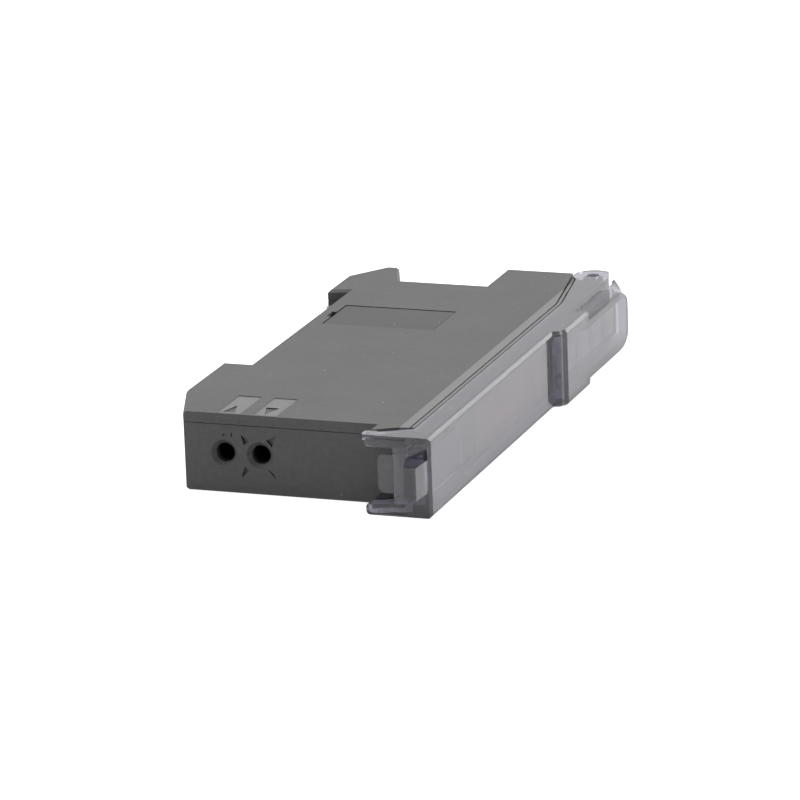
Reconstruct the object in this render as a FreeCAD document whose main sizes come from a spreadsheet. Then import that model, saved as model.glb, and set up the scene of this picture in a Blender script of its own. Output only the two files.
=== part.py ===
import FreeCAD, Part
import os
import re
import Sketcher

# Fibre optic sensor amplifier, slim type for rail mounting, with a hinged smoke cover.
# It lies on its broad side. In the sizes below, x runs from the rail up to the cover, y from
# the fibre end to the plug end, and z through the thickness. x = 0 is the lower corner of the
# fibre end face and y = 0 is that face. Each piece is placed from there so that the whole part
# stands centred on the origin.

# Driving dimensions in millimetres
SIZES = {
    # case outline
    "case_thick": 10.0,
    "case_high": 29.0,
    "bay_back": 5.8,
    "bay_deep": 8.2,
    "plate_thick": 1.4,
    "floor_thick": 1.2,
    "wall": 1.3,
    "seam_gap": 0.1,
    "edge_bevel": 0.35,
    "rim_wide": 1.05,
    "rim_drop": 0.15,
    "rim_groove": 0.2,
    "rim_lip": 0.4,
    "rim_deep": 1.0,
    "rim_skin": 0.4,
    "foot_drop": 3.0,
    "foot_slope": 8.6,
    "foot_back": 20.8,
    "rail_lift": 0.7,
    "rail_wide": 35.4,
    "hook_drop": 2.0,
    "hook_lean": 0.8,
    "hook_sole": 6.7,
    "hook_reach": 12.1,
    "hook_nose_low": 1.7,
    "hook_nose_high": 3.3,
    "bay_low": 5.7,
    "bay_tall": 11.8,
    "end_step": 2.2,
    "taper_long": 14.2,
    "lug_wide": 4.0,
    "lug_reach": 2.3,
    # fibre holes and optics
    "hole_low": 5.15,
    "hole_pitch": 4.6,
    "hole_radius": 1.2,
    "sink_radius": 1.7,
    "sink_depth": 0.5,
    "ray_depth": 0.35,
    "dot_radius": 0.16,
    "optic_long": 16.0,
    "optic_rim": 1.7,
    "diode_radius": 1.5,
    "diode_room": 0.1,
    "diode_seat": 3.2,
    "diode_long": 4.2,
    "lead": 0.5,
    # fibre clamp and its lever
    "clamp_place": 6.8,
    "clamp_thick": 1.6,
    "clamp_wide": 4.0,
    "clamp_neck": 1.8,
    "clamp_travel": 0.6,
    "slide_gap": 0.1,
    "fibre_play": 0.02,
    "coil_wire": 0.35,
    "coil_radius": 1.7,
    "coil_turns": 5.0,
    "coil_long": 6.0,
    "axis_lift": 1.2,
    "lever_axis_place": 10.5,
    "lever_pin_radius": 0.75,
    "pin_play": 0.02,
    "lever_hub": 1.1,
    "lever_side": 0.2,
    "lever_hang": 3.0,
    "lever_lift": 0.35,
    "lever_skin": 1.65,
    "lever_front": 3.35,
    "lever_thick": 1.25,
    "lever_corner": 0.9,
    "lever_ear": 1.15,
    "ear_rise": 0.5,
    # boards
    "board_thick": 1.0,
    "board_stand": 1.0,
    "board_front": 18.0,
    "board_gap": 0.25,
    "post_radius": 1.2,
    "face_drop": 3.4,
    # operating panel
    "panel_front": 12.3,
    "panel_rise": 1.9,
    "panel_skin": 1.0,
    "panel_wall": 0.8,
    "panel_side": 0.15,
    "raise_step": 1.2,
    "raise_space": 1.3,
    "raise_back": 1.0,
    "raise_play": 0.3,
    "raise_wall": 0.6,
    "window_front": 15.9,
    "window_long": 25.5,
    "window_wide": 6.4,
    "window_thick": 0.6,
    "window_lip": 0.6,
    "window_gap": 0.05,
    "digits_margin": 1.1,
    "digits_gap": 0.5,
    "lamp_space": 0.9,
    "lamp_long": 1.6,
    "lamp_wide": 4.6,
    "chip_lamp": 0.7,
    # buttons
    "key_ends": 1.4,
    "key_space": 1.5,
    "key_side": 0.25,
    "key_proud": 0.4,
    "key_flange": 0.4,
    "key_travel": 0.25,
    "key_gap": 0.12,
    "key_stem": 0.8,
    "switch_wide": 4.0,
    "switch_high": 1.4,
    "plunger_high": 0.3,
    # cover
    "cover_lift": 0.85,
    "cover_tall": 4.0,
    "ramp_high": 1.4,
    "cover_skin": 1.0,
    "cover_wall": 0.9,
    "cover_side": 0.05,
    "cover_front": 4.2,
    "front_wall": 0.55,
    "ramp_lead": 2.3,
    "ramp_run": 1.2,
    "ramp_lean": 0.25,
    "ramp_land": 0.5,
    "full_back": 17.2,
    "deck_drop": 0.4,
    "nose_inset": 1.3,
    "nose_shift": 0.15,
    "nose_drop": 1.7,
    "nose_back": 0.6,
    "nose_reach": 3.8,
    "end_wall": 1.6,
    "nose_round": 1.9,
    "nose_soft": 0.3,
    "cover_bevel": 0.35,
    "arm_hang": 4.3,
    "arm_thick": 1.45,
    "arm_deep": 1.4,
    "arm_web": 2.1,
    "arm_web_start": 1.3,
    "arm_round": 0.5,
    "arm_groove": 0.2,
    "groove_in": 0.3,
    "knob_start": 0.4,
    "knob_end": 1.2,
    "knob_deep": 1.75,
    "knob_thick": 0.65,
    "groove_end": 1.5,
    "block_lift": 0.9,
    "block_thick": 2.35,
    "wall_hang": 0.7,
    "tab_reach": 3.6,
    "tab_drop": 2.1,
    "tab_lift": 0.8,
    "tab_step": 0.6,
    "tab_wide": 4.0,
    "tab_shift": 0.35,
    "pivot_lift": 0.6,
    "pivot_back": 0.2,
    "pivot_radius": 0.8,
    "pivot_play": 0.06,
    "pivot_boss": 1.3,
    "ear_radius": 2.6,
    "ear_trim": 1.5,
    "ear_trim_back": 2.0,
    # side link port
    "port_low": 2.8,
    "port_wide": 15.1,
    "port_front": 40.2,
    "port_long": 9.0,
    "port_depth": 0.95,
    "port_gap": 0.1,
    "port_sink": 0.06,
    "port_ledge": 1.5,
    "port_pad": 0.7,
    "clip_thick": 0.6,
    "clip_wide": 4.0,
    "clip_long": 0.9,
    "notch_long": 2.2,
    "notch_wide": 0.6,
    "link_wall": 0.8,
    "link_cavity": 2.0,
    "link_flange": 0.5,
    "contact_radius": 0.3,
    "contact_pitch": 2.0,
    # plug bay socket
    "socket_inset": 2.5,
    "socket_wide": 8.4,
    "socket_long": 6.0,
    "socket_wall": 0.9,
    "socket_depth": 4.4,
    "socket_pitch": 1.6,
    # rail spring
    "leaf_thick": 0.3,
    "leaf_wide": 5.6,
    "leaf_high": 3.6,
    "leaf_drop": 2.3,
    "leaf_pocket": 1.4,
    "leaf_gap": 0.1,
    "leaf_lip": 0.9,
    # marks on the side plate
    "mark_low": 4.3,
    "mark_long": 7.6,
    "mark_wide": 3.0,
    "mark_pitch": 4.65,
    "mark_depth": 0.08,
    "arrow_depth": 0.22,
    "arrow_start": 0.9,
    "arrow_long": 2.9,
    "arrow_wide": 1.7,
    "arrow_shift": 0.25,
    # electronic parts
    "chip_side": 7.0,
    "chip_high": 1.4,
    "chip_low": 10.0,
    "chip_front": 26.0,
    "can_side": 6.0,
    "can_high": 2.2,
    "can_wall": 0.25,
    "can_low": 2.9,
    "can_front": 21.0,
    "amp_high": 1.1,
    "capacitor_radius": 1.9,
    "capacitor_long": 8.0,
    "edge_room": 2.0,
    "capacitor_front": 48.0,
    "inductor_side": 4.2,
    "inductor_high": 3.0,
    "inductor_front": 36.0,
    "header_front": 20.0,
    "header_pitch": 2.0,
    "header_deep": 2.3,
    "header_tall": 2.5,
}

# Places worked out from the driving dimensions
PLACES = {
    "mid_x": "(cover_high - foot_drop) / 2",
    "mid_y": "(nose_end - cover_front - tab_reach) / 2",
    "mid_z": "case_thick / 2",
    "seam": "case_thick - plate_thick",
    "rail_far": "foot_back + rail_wide",
    "bay_wall": "rail_far + bay_back",
    "bay_high": "bay_low + bay_tall",
    "case_end": "bay_wall + bay_deep",
    "end_high": "case_high - end_step",
    "taper_start": "case_end - taper_long",
    "lug_low": "case_high - lug_wide",
    "hole_high": "hole_low + hole_pitch",
    "optic_front": "wall + seam_gap",
    "optic_back": "optic_front + optic_long",
    "diode_front": "optic_back - diode_seat + diode_room",
    "diode_back": "diode_front + diode_long",
    "room_low": "floor_thick + seam_gap",
    "room_high": "seam - seam_gap",
    "optic_base": "hole_low - hole_radius - optic_rim",
    "optic_top": "hole_high + hole_radius + optic_rim",
    "top_wall": "case_high - wall",
    "lever_axis_high": "case_high + axis_lift",
    "lever_wide": "case_thick - (block_thick + cover_side + lever_side) * 2",
    "lever_low": "case_high - lever_hang",
    "lever_under": "case_high + lever_lift",
    "lever_top": "lever_under + lever_skin",
    "ear_top": "panel_top + ear_rise",
    "rim_start": "case_high + rim_groove",
    "rim_end": "rim_start + rim_lip",
    "rim_low": "case_thick - rim_deep",
    "rim_top": "case_thick - rim_drop",
    "board_low": "floor_thick + board_stand",
    "board_face": "board_low + board_thick",
    "board_base": "rail_lift + wall + board_gap",
    "board_back": "bay_wall - wall - board_gap",
    "face_board": "case_high - face_drop",
    "face_top": "face_board + board_thick",
    "panel_top": "case_high + panel_rise",
    "panel_under": "panel_top - panel_skin",
    "flange_inset": "cover_side + cover_wall + panel_side",
    "window_end": "window_front + window_long",
    "digits_first": "window_front + digits_margin",
    "digits_long": "(window_long - digits_margin * 2 - digits_gap) / 2",
    "digits_high": "panel_under - face_top - window_gap * 4",
    "digits_wide": "(room_high - panel_wall - mid_z - window_gap) * 2",
    "lamp_front": "window_end + lamp_space",
    "raise_front": "lamp_front + lamp_long + raise_space",
    "raise_end": "case_end - raise_back",
    "raise_top": "panel_top + raise_step",
    "raise_wide": "nose_wide - (cover_wall + raise_play) * 2",
    "key_pitch": "(raise_end - raise_front - key_ends * 2) / 4",
    "key_first": "raise_front + key_ends + key_pitch / 2",
    "key_long": "key_pitch - key_space",
    "key_wide": "raise_wide - (raise_wall + key_side) * 2",
    "stem_low": "face_top + switch_high + plunger_high + key_travel + window_gap",
    "skirt_front": "panel_front + seam_gap",
    "skirt_end": "case_end - wall - seam_gap",
    "cover_low": "case_high + cover_lift",
    "cover_top": "case_high + cover_tall",
    "cover_high": "cover_top + ramp_high",
    "cover_under": "cover_top - cover_skin",
    "ramp_start": "raise_front - ramp_lead",
    "full_end": "case_end - full_back",
    "deck_high": "cover_top - deck_drop",
    "nose_wide": "case_thick - nose_inset * 2",
    "nose_mid": "mid_z - nose_shift",
    "nose_low": "cover_top - nose_drop",
    "nose_flat": "case_end - nose_back",
    "nose_end": "case_end + nose_reach",
    "arm_low": "case_high - arm_hang",
    "block_low": "case_high + block_lift",
    "mid_wall_low": "case_high - wall_hang",
    "tab_low": "cover_top - tab_drop",
    "tab_root": "case_high + tab_lift",
    "tab_top": "cover_top - tab_step",
    "pivot_high": "case_high + pivot_lift",
    "pivot_place": "case_end - pivot_back",
    "nose_under": "cover_high - cover_skin",
    "face_y": "0 - cover_front",
    "arm_back": "arm_deep - cover_front",
    "wall_back": "front_wall - cover_front",
    "nose_rise": "(nose_end - nose_flat) / (cover_high - nose_low)",
    "port_high": "port_low + port_wide",
    "port_end": "port_front + port_long",
    "link_low": "port_low + port_ledge",
    "link_high": "port_high - port_ledge",
    "link_front": "port_front + port_ledge",
    "link_end": "port_end - port_ledge",
    "socket_low": "bay_low + socket_inset",
    "socket_high": "socket_low + socket_wide",
    "socket_tall": "seam - seam_gap * 2 - board_face",
    "socket_back": "bay_wall - seam_gap * 2 - socket_long",
    "contact_mid": "(link_low + link_high) / 2",
    "capacitor_place": "face_board - edge_room - capacitor_radius",
    "inductor_low": "face_board - edge_room - inductor_side",
    "link_mid": "(link_front + link_end) / 2",
}

WORD = re.compile(r"[a-z][a-z0-9_]*")

doc = FreeCAD.newDocument("FibreAmplifier")
sheet = doc.addObject("Spreadsheet::Sheet", "Sizes")
for row, (alias, number) in enumerate(SIZES.items(), start=1):
    sheet.set("A%d" % row, alias)
    sheet.set("B%d" % row, str(number))
    sheet.setAlias("B%d" % row, alias)
doc.recompute()

NODES = []


def size(alias):
    """One driving dimension, read back from the sheet."""
    return float(sheet.get(alias))


def formula(text):
    """Turn a sum of plain size names into an expression on the sheet."""
    def swap(found):
        word = found.group(0)
        if word in PLACES:
            return "(" + formula(PLACES[word]) + ")"
        if word in SIZES:
            return "Sizes." + word
        return word
    return WORD.sub(swap, str(text))


def bind(thing, prop, text):
    thing.setExpression(prop, formula(text))


def place(thing, x, y, z):
    bind(thing, "Placement.Base.x", x)
    bind(thing, "Placement.Base.y", y)
    bind(thing, "Placement.Base.z", z)


def block(name, x, y, z):
    """A box between two sums on each axis."""
    box = doc.addObject("Part::Box", name)
    for prop, (low, high) in (("Length", x), ("Width", y), ("Height", z)):
        bind(box, prop, "(%s) - (%s)" % (high, low))
    place(box, x[0], y[0], z[0])
    return box


TURNS = {
    "x": FreeCAD.Rotation(FreeCAD.Vector(0, 1, 0), 90),
    "y": FreeCAD.Rotation(FreeCAD.Vector(1, 0, 0), -90),
    "z": FreeCAD.Rotation(),
}


def rod(name, axis, start, radius, length):
    """A cylinder that starts at a point and runs up one axis."""
    cylinder = doc.addObject("Part::Cylinder", name)
    bind(cylinder, "Radius", radius)
    bind(cylinder, "Height", length)
    cylinder.Placement = FreeCAD.Placement(FreeCAD.Vector(), TURNS[axis])
    place(cylinder, *start)
    return cylinder


def plane_of(body, role):
    return [part for part in body.Origin.OriginFeatures if part.Role == role][0]


def outline(sketch, points):
    """A closed outline whose corners are bound to sums of sizes."""
    spots = [FreeCAD.Vector(10 * index, index * index, 0) for index in range(len(points))]
    for start, end in zip(spots, spots[1:] + spots[:1]):
        sketch.addGeometry(Part.LineSegment(start, end))
    count = len(points)
    for index in range(count):
        sketch.addConstraint(Sketcher.Constraint("Coincident", index, 2, (index + 1) % count, 1))
    for index, (x, y) in enumerate(points):
        for kind, text in (("DistanceX", x), ("DistanceY", y)):
            number = sketch.addConstraint(Sketcher.Constraint(kind, -1, 1, index, 1, 1.0))
            sketch.setExpression("Constraints[%d]" % number, formula(text))


def prism(name, points, low, high, upright=False):
    """A padded body, from low to high in z, or in y when it is upright and drawn in x and z."""
    body = doc.addObject("PartDesign::Body", name)
    sketch = body.newObject("Sketcher::SketchObject", name + "_outline")
    sketch.AttachmentSupport = [(plane_of(body, "XY_Plane"), "")]
    sketch.MapMode = "FlatFace"
    outline(sketch, points)
    pad = body.newObject("PartDesign::Pad", name + "_pad")
    pad.Profile = sketch
    bind(pad, "Length", "(%s) - (%s)" % (high, low))
    sketch.Visibility = False
    if upright:
        body.Placement = FreeCAD.Placement(FreeCAD.Vector(), FreeCAD.Rotation(FreeCAD.Vector(1, 0, 0), 90))
        place(body, "0", high, "0")
    else:
        place(body, "0", "0", low)
    return body


def fuse(name, pieces):
    joined = doc.addObject("Part::MultiFuse", name)
    joined.Shapes = pieces
    return joined


def cut(name, base, tools):
    """The base without the tools."""
    tool = tools[0] if len(tools) == 1 else fuse(name + "_tools", tools)
    result = doc.addObject("Part::Cut", name)
    result.Base = base
    result.Tool = tool
    return result


def ease(name, base, kind, amount, wanted):
    """Chamfer or fillet the edges of the base that the test wants."""
    doc.recompute()
    shape = base.Shape
    numbers = [n for n, edge in enumerate(shape.Edges, start=1) if wanted(edge, shape.BoundBox)]
    eased = doc.addObject("Part::" + kind, name)
    eased.Base = base
    eased.Edges = [(n, size(amount), size(amount)) for n in numbers]
    return eased


def node(label, thing):
    """Keep a finished piece: its label, and its place about the part's own origin."""
    thing.Label = label
    bound = dict(thing.ExpressionEngine)
    for axis in ("x", "y"):
        path = "Placement.Base." + axis
        start = bound.get(path, bound.get("." + path, "0"))
        thing.setExpression(path, "(%s) - %s" % (start, formula("mid_" + axis)))
    NODES.append(thing)
    return thing


def close(a, b, slack=0.01):
    return abs(a - b) < slack


def flat_edge(edge, level):
    """True for an edge that lies in the plane z = level."""
    box = edge.BoundBox
    return close(box.ZMin, level) and close(box.ZMax, level)


# Case outline, shared by the tray and the side plate
RAIL_SIDE = [
    ("0", "0"),
    ("0 - foot_drop", "foot_slope"),
    ("0 - foot_drop", "foot_back"),
    ("rail_lift", "foot_back"),
    ("rail_lift", "rail_far"),
    ("0 - hook_drop", "rail_far - hook_lean"),
    ("0 - hook_drop", "rail_far + hook_sole"),
    ("hook_nose_low", "rail_far + hook_reach"),
    ("hook_nose_high", "rail_far + hook_reach"),
    ("bay_low", "bay_wall"),
    ("bay_high", "bay_wall"),
    ("bay_high", "case_end"),
    ("end_high", "case_end"),
    ("case_high", "taper_start"),
    ("case_high", "0"),
]
LUG = [("lug_low", "0"), ("case_high", "0"), ("lug_low", "0 - lug_reach")]


def clamp_passage():
    """The spans along y and z of the slot that the fibre clamp slides in."""
    y = ("clamp_place - clamp_thick / 2 - slide_gap", "clamp_place + clamp_thick / 2 + slide_gap")
    z = ("mid_z - clamp_wide / 2 - slide_gap", "mid_z + clamp_wide / 2 + slide_gap")
    return y, z


# Corners in x and z of the pockets round the emitter's hole, from that hole's middle
RAYS = [
    ((-2.42, 2.45), (-2.02, 1.22), (-1.32, 1.77)),
    ((2.16, 2.64), (0.84, 1.92), (1.58, 1.13)),
    ((-2.48, -2.91), (-2.03, -1.55), (-1.40, -1.95)),
    ((2.04, -2.93), (0.79, -1.54), (1.59, -2.14)),
]


def ray_pockets():
    """Four pointed pockets like the rays of a lamp, and two small marks over the other hole."""
    pockets = []
    for n, corners in enumerate(RAYS):
        points = [("hole_high + (%s)" % x, "mid_z + (%s)" % z) for x, z in corners]
        pockets.append(prism("tray_ray_%d" % n, points, "0 - ray_depth", "ray_depth", upright=True))
    top = "mid_z + sink_radius + dot_radius * 4"
    pockets.append(rod("tray_dot", "y", ("hole_low", "0 - dot_radius", top), "dot_radius", "dot_radius * 2"))
    pockets.append(block("tray_dash", ("hole_low + dot_radius * 6", "hole_low + dot_radius * 7"),
                         ("0 - dot_radius", "dot_radius"),
                         (top + " - dot_radius", top + " + dot_radius * 2")))
    return pockets


def build_tray():
    """The moulded tray, with both rail feet, the fibre end face and the plug bay."""
    shell = prism("tray_shell", RAIL_SIDE, "0", "seam")
    shell = ease("tray_eased", shell, "Chamfer", "edge_bevel", lambda e, b: flat_edge(e, b.ZMin))
    lug = prism("tray_lug", LUG, "edge_bevel", "plate_thick")
    room = prism("tray_room", [
        ("rail_lift + wall", "wall"),
        ("rail_lift + wall", "rail_far - wall"),
        ("bay_low + wall", "rail_far - wall"),
        ("bay_low + wall", "bay_wall - wall"),
        ("bay_high + wall", "bay_wall - wall"),
        ("bay_high + wall", "case_end - wall"),
        ("case_high + wall", "case_end - wall"),
        ("case_high + wall", "panel_front"),
        ("top_wall", "panel_front"),
        ("top_wall", "wall"),
    ], "floor_thick", "case_thick")
    foot_room = block("tray_foot_room", ("wall - foot_drop", "rail_lift + wall + wall"),
                      ("foot_slope + wall", "foot_back - wall"), ("floor_thick", "case_thick"))
    holes = [foot_room, room]
    for name, high in (("low", "hole_low"), ("high", "hole_high")):
        holes.append(rod("tray_hole_" + name, "y", (high, "0 - wall", "mid_z"), "hole_radius", "wall * 3"))
        sink = doc.addObject("Part::Cone", "tray_sink_" + name)
        bind(sink, "Radius1", "sink_radius")
        bind(sink, "Radius2", "hole_radius")
        bind(sink, "Height", "sink_depth")
        sink.Placement = FreeCAD.Placement(FreeCAD.Vector(), TURNS["y"])
        place(sink, high, "0", "mid_z")
        holes.append(sink)
    holes.append(block("tray_clamp_slot", ("top_wall - wall", "case_high + wall"),
                       *clamp_passage()))
    holes.append(block("tray_socket_door", ("socket_low - seam_gap", "socket_high + seam_gap"),
                       ("bay_wall - wall * 2", "bay_wall + wall"), ("board_face - seam_gap", "case_thick")))
    holes.append(block("tray_leaf_pocket", ("0 - leaf_drop - hook_drop", "leaf_high + leaf_gap"),
                       ("rail_far", "rail_far + leaf_pocket"),
                       ("mid_z - leaf_wide / 2 - leaf_gap", "mid_z + leaf_wide / 2 + leaf_gap")))
    holes.append(block("tray_leaf_mouth", ("0 - leaf_drop - hook_drop", "rail_lift"),
                       ("rail_far - hook_lean * 2", "rail_far + leaf_gap"),
                       ("mid_z - leaf_wide / 2 - leaf_gap", "mid_z + leaf_wide / 2 + leaf_gap")))
    tray = cut("tray_cut", fuse("tray_joined", [shell, lug]), holes + ray_pockets())
    pad = block("tray_port_pad", ("rail_lift + wall / 2", "port_high + port_ledge"),
                ("port_front - port_ledge", "port_end + port_ledge"),
                ("floor_thick / 2", "floor_thick + port_pad"))
    posts = []
    for n, (x, y) in enumerate(POSTS):
        posts.append(rod("tray_post_%d" % n, "z", (x, y, "floor_thick / 2"), "post_radius",
                         "board_low - floor_thick / 2"))
    solid = fuse("tray_solid", [tray, pad] + posts)
    port = block("tray_port", ("port_low", "port_high"), ("port_front", "port_end"),
                 ("0 - port_depth", "port_depth"))
    link = block("tray_link", ("link_low", "link_high"), ("link_front", "link_end"),
                 ("0 - port_depth", "board_low"))
    clips = clip_slots("tray", "0", "board_low")
    node("case_body", cut("case_body", solid, [port, link] + clips))


POSTS = [
    ("board_base + post_radius * 2", "board_front + post_radius * 2"),
    ("board_base + post_radius * 2", "rail_far - wall - post_radius * 2"),
    ("face_board - post_radius * 3", "board_front + post_radius * 2"),
    ("face_board - post_radius * 3", "board_back - post_radius * 2"),
]


def clip_spans():
    """The two places along y where the port cover's clips reach in, just outside the link block."""
    middle = "(port_low + port_high) / 2"
    x = (middle + " - clip_wide / 2", middle + " + clip_wide / 2")
    front = ("port_front + port_gap", "port_front + port_gap + clip_thick")
    back = ("port_end - port_gap - clip_thick", "port_end - port_gap")
    return x, (front, back)


def clip_slots(name, low, high):
    x, spans = clip_spans()
    wide = (x[0] + " - port_gap", x[1] + " + port_gap")
    slots = []
    for n, (start, end) in enumerate(spans):
        slots.append(block("%s_clip_slot_%d" % (name, n), wide,
                           (start + " - port_gap", end + " + port_gap"), (low, high)))
    return slots


def build_side_plate():
    """The flat moulded lid, whose edge is the seam band on the end face."""
    plate = prism("plate_outline", RAIL_SIDE, "seam", "case_thick")
    lug = prism("plate_lug", LUG, "seam", "case_thick")
    joined = fuse("plate_joined", [plate, lug])
    joined.Refine = True

    def outer(edge, box):
        """The upper edges, but for those beside the cover and the lug."""
        return flat_edge(edge, box.ZMax) and edge.BoundBox.XMax < box.XMax - size("lug_wide") - 0.05

    plate = ease("plate_eased", joined, "Chamfer", "edge_bevel", outer)
    plate = ease("plate_seam", plate, "Chamfer", "seam_gap", lambda e, b: flat_edge(e, b.ZMin))
    plate = cut("plate_rimmed", plate, [prism("plate_slope", [
        ("case_high - rim_wide", "case_thick"),
        ("case_high", "rim_top"),
        ("case_high + rim_wide", "rim_top"),
        ("case_high + rim_wide", "case_thick + rim_wide"),
        ("case_high - rim_wide", "case_thick + rim_wide"),
    ], "0 - lug_reach * 2", "case_end", upright=True)])

    def beside(name, start, end, low, high):
        """A strip that runs beside the plate's edge, up to the hinge ears of the cover."""
        strip = prism(name, [
            (start, "seam_gap"),
            (end, "seam_gap"),
            (end, "taper_start"),
            (end + " - end_step", "case_end"),
            (start + " - end_step", "case_end"),
            (start, "taper_start"),
        ], low, high)
        ear = rod(name + "_ear_room", "z", ("pivot_high", "pivot_place", "rim_low - wall"),
                  "ear_radius + seam_gap * 2", "case_thick")
        return cut(name + "_cut", strip, [ear])

    ledge = beside("plate_ledge", "case_high - rim_wide", "rim_end", "rim_low", "rim_low + rim_skin")
    lip = beside("plate_lip", "rim_start", "rim_end", "rim_low", "rim_top")
    rib = block("plate_rib", ("rail_lift + wall + seam_gap", "rail_lift + wall * 2"),
                ("foot_back + wall", "port_front - port_ledge"), ("seam - wall", "seam + wall / 2"))
    solid = fuse("plate_solid", [plate, rib, ledge, lip])
    tools = [
        block("plate_port", ("port_low", "port_high"), ("port_front", "port_end"),
              ("case_thick - port_depth", "case_thick + port_depth")),
        block("plate_link", ("link_low", "link_high"), ("link_front", "link_end"),
              ("seam - wall", "case_thick")),
        block("plate_notch", ("port_low - notch_wide", "port_low + notch_wide"),
              ("link_mid - notch_long / 2", "link_mid + notch_long / 2"),
              ("case_thick - port_depth", "case_thick + port_depth")),
    ]
    tools += clip_slots("plate", "seam - wall", "case_thick")
    for n, direction in enumerate((1, -1)):
        low = "mark_low + mark_pitch * %d" % n
        tools.append(block("plate_mark_%d" % n, (low, low + " + mark_wide"), ("edge_bevel", "mark_long"),
                           ("case_thick - mark_depth", "case_thick + mark_depth")))
        base, tip = ("arrow_start", "arrow_start + arrow_long")[::direction]
        middle = low + " + mark_wide / 2 - arrow_shift"
        tools.append(prism("plate_arrow_%d" % n, [
            (middle + " - arrow_wide / 2", base),
            (middle + " + arrow_wide / 2", base),
            (middle, tip),
        ], "case_thick - arrow_depth", "case_thick + mark_depth"))
    node("side_plate", cut("side_plate", solid, tools))


def build_port_covers():
    """The same snap-in plate on both broad sides, over the side link port."""
    x, spans = clip_spans()
    top = ("case_thick - port_sink", "case_thick - port_depth", "case_thick - port_depth - clip_long")
    bottom = ("port_sink", "port_depth", "port_depth + clip_long")
    for name, (outer, inner, tip) in (("port_cover_top", top), ("port_cover_bottom", bottom)):
        low, high = (inner, outer) if name.endswith("top") else (outer, inner)
        lid = block(name + "_lid", ("port_low + port_gap", "port_high - port_gap"),
                    ("port_front + port_gap", "port_end - port_gap"), (low, high))
        pieces = [ease(name + "_eased", lid, "Chamfer", "port_gap",
                       lambda e, b, top=name.endswith("top"): flat_edge(e, b.ZMax if top else b.ZMin))]
        first, last = (tip, inner + " + port_gap") if name.endswith("top") else (inner + " - port_gap", tip)
        for n, span in enumerate(spans):
            pieces.append(block("%s_clip_%d" % (name, n), x, span, (first, last)))
        node(name, fuse(name, pieces))


def build_optics():
    """The block that holds the fibre ends in front of the emitter and the receiver."""
    base = block("optic_base", ("optic_base", "optic_top"), ("optic_front", "optic_back"),
                 ("room_low", "room_high"))
    tools = []
    for name, high in (("low", "hole_low"), ("high", "hole_high")):
        tools.append(rod("optic_bore_" + name, "y", (high, "0", "mid_z"), "hole_radius", "optic_back"))
        tools.append(rod("optic_seat_" + name, "y", (high, "optic_back - diode_seat", "mid_z"),
                         "diode_radius + diode_room", "diode_seat + wall"))
    tools.append(block("optic_slot", ("optic_base + optic_rim / 2", "optic_top + wall"),
                       *clamp_passage()))
    node("optic_block", cut("optic_block", base, tools))
    for name, high in (("receiver_diode", "hole_low"), ("emitter_led", "hole_high")):
        barrel = rod(name + "_barrel", "y", (high, "diode_front + diode_radius", "mid_z"), "diode_radius",
                     "diode_long - diode_radius")
        dome = doc.addObject("Part::Sphere", name + "_dome")
        bind(dome, "Radius", "diode_radius")
        place(dome, high, "diode_front + diode_radius", "mid_z")
        pieces = [barrel, dome]
        for n, side in enumerate(("- lead * 2", "+ lead")):
            x = ("%s %s" % (high, side), "%s %s + lead" % (high, side))
            pieces.append(block("%s_lead_%d" % (name, n), x, ("diode_back - lead", "diode_back + lead * 3"),
                                ("mid_z - lead / 2", "mid_z + lead / 2")))
            pieces.append(block("%s_foot_%d" % (name, n), x,
                                ("diode_back + lead * 2", "diode_back + lead * 3"), ("board_face", "mid_z")))
        node(name, fuse(name, pieces))


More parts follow.
